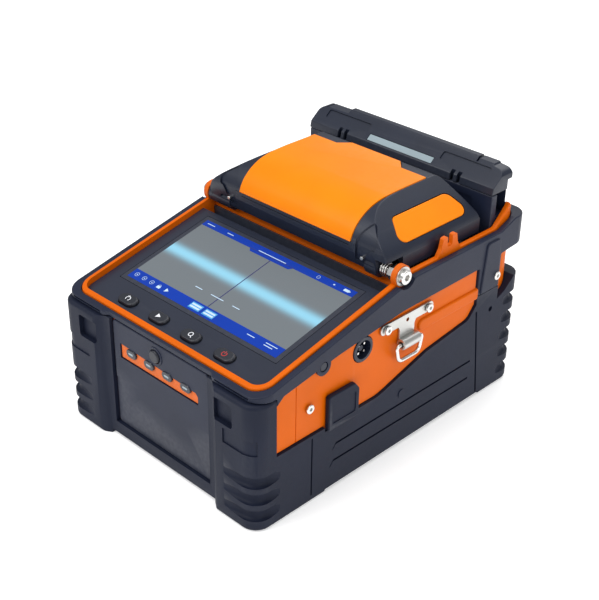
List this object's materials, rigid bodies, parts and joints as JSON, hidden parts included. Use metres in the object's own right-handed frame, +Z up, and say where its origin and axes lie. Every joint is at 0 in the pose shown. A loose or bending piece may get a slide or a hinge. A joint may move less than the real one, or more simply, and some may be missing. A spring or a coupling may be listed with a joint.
{
  "type": "fusion splicer",
  "caption": "Hand-held optical fibre fusion splicer with a tilted screen, hinged wind cover, tube heater and slide-in battery in a rubber-cornered case.",
  "frame": {"origin": "middle of the footprint, on the surface the splicer stands on", "axes": "+X to the operator's right, +Y from the operator to the back, +Z up"},
  "size_m": [0.153, 0.198, 0.1286],
  "materials": {
    "orange_plastic": "satin",
    "amber_plastic": "satin gloss",
    "dark_plastic": "fine grain",
    "rubber": "matte",
    "steel": "nickel plated",
    "glass": "clear",
    "circuit_board": "lacquered",
    "ceramic": "ground",
    "light_plastic": "satin"
  },
  "bodies": {
    "case": {"body_shell": "orange_plastic", "rubber_boot": "rubber", "top_frame": "dark_plastic", "control_panel": "dark_plastic", "screen_glass": "glass", "lcd_module": "dark_plastic", "key_board": "circuit_board", "main_board": "circuit_board", "arc_module": "dark_plastic", "splice_deck": "steel", "v_groove_block": "ceramic", "electrode_front": "steel", "electrode_rear": "steel", "electrode_clamp_front": "steel", "electrode_clamp_rear": "steel", "microscope_module": "dark_plastic", "heater_base": "dark_plastic", "heater_tray": "steel", "heater_hinge_pin": "steel", "dc_socket": "dark_plastic", "usb_socket": "steel", "strap_bracket_left": "steel", "strap_bracket_right": "steel", "bracket_screw_left_front": "steel", "bracket_screw_left_rear": "steel", "bracket_screw_right_front": "steel", "bracket_screw_right_rear": "steel", "hinge_bolt_left": "steel", "hinge_bolt_right": "steel", "hinge_nut": "steel", "cover_spring": "steel", "side_screw_left": "steel", "side_screw_right": "steel", "post_screw_left": "steel", "post_screw_right": "steel"},
    "wind_cover": {"wind_cover_frame": "dark_plastic", "wind_cover_panel": "amber_plastic", "wind_cover_insert_left": "amber_plastic", "wind_cover_insert_right": "amber_plastic", "fibre_presser_left": "dark_plastic", "fibre_presser_right": "dark_plastic"},
    "heater_lid_body": {"heater_lid": "dark_plastic", "heater_lid_strip": "light_plastic"},
    "sheath_clamp_left_body": {"sheath_clamp_left": "steel"},
    "sheath_clamp_right_body": {"sheath_clamp_right": "steel"},
    "key_reset_body": {"key_reset": "dark_plastic"},
    "key_play_body": {"key_play": "dark_plastic"},
    "key_zoom_body": {"key_zoom": "dark_plastic"},
    "key_power_body": {"key_power": "dark_plastic"},
    "battery_pack": {"battery_front": "dark_plastic", "battery_case": "dark_plastic", "battery_strip": "orange_plastic", "battery_lens_1": "dark_plastic", "battery_lens_2": "dark_plastic", "battery_lens_3": "dark_plastic", "battery_lens_4": "dark_plastic"},
    "check_button_body": {"check_button": "dark_plastic"},
    "d_ring_left_body": {"d_ring_left": "steel"},
    "d_ring_right_body": {"d_ring_right": "steel"},
    "usb_cover_body": {"usb_cover": "rubber"}
  },
  "joints": [
    {"name": "wind_cover_hinge", "type": "hinge", "parent": "case", "child": "wind_cover", "pos_m": [0, 0.00135, 0.0986], "axis": [1, 0, 0], "range_deg": [0, 90]},
    {"name": "heater_lid_hinge", "type": "hinge", "parent": "case", "child": "heater_lid_body", "pos_m": [0, 0.0892, 0.1184], "axis": [-1, 0, 0], "range_deg": [0, 90]},
    {"name": "sheath_clamp_left_hinge", "type": "hinge", "parent": "case", "child": "sheath_clamp_left_body", "pos_m": [-0.035, 0.04297, 0.1022], "axis": [-1, 0, 0], "range_deg": [0, 90]},
    {"name": "sheath_clamp_right_hinge", "type": "hinge", "parent": "case", "child": "sheath_clamp_right_body", "pos_m": [0.035, 0.04297, 0.1022], "axis": [-1, 0, 0], "range_deg": [0, 90]},
    {"name": "key_reset_slide", "type": "slide", "parent": "case", "child": "key_reset_body", "axis": [0, 0.2215, -0.9751], "range_m": [0, 0.001], "stiffness_N_per_m": 400, "springref_m": -0.0008},
    {"name": "key_play_slide", "type": "slide", "parent": "case", "child": "key_play_body", "axis": [0, 0.2215, -0.9751], "range_m": [0, 0.001], "stiffness_N_per_m": 400, "springref_m": -0.0008},
    {"name": "key_zoom_slide", "type": "slide", "parent": "case", "child": "key_zoom_body", "axis": [0, 0.2215, -0.9751], "range_m": [0, 0.001], "stiffness_N_per_m": 400, "springref_m": -0.0008},
    {"name": "key_power_slide", "type": "slide", "parent": "case", "child": "key_power_body", "axis": [0, 0.2215, -0.9751], "range_m": [0, 0.001], "stiffness_N_per_m": 400, "springref_m": -0.0008},
    {"name": "battery_slide", "type": "slide", "parent": "case", "child": "battery_pack", "axis": [0, -1, 0], "range_m": [0, 0.065]},
    {"name": "check_button_slide", "type": "slide", "parent": "battery_pack", "child": "check_button_body", "axis": [0, 1, 0], "range_m": [0, 0.0012], "stiffness_N_per_m": 300, "springref_m": -0.0008},
    {"name": "d_ring_left_hinge", "type": "hinge", "parent": "case", "child": "d_ring_left_body", "pos_m": [-0.0736, 0.00285, 0.0645], "axis": [0, 1, 0], "range_deg": [0, 150]},
    {"name": "d_ring_right_hinge", "type": "hinge", "parent": "case", "child": "d_ring_right_body", "pos_m": [0.0736, 0.00285, 0.0645], "axis": [0, -1, 0], "range_deg": [0, 150]},
    {"name": "usb_cover_hinge", "type": "hinge", "parent": "case", "child": "usb_cover_body", "pos_m": [0.072, -0.032, 0.04725], "axis": [0, 0, 1], "range_deg": [0, 90]}
  ]
}
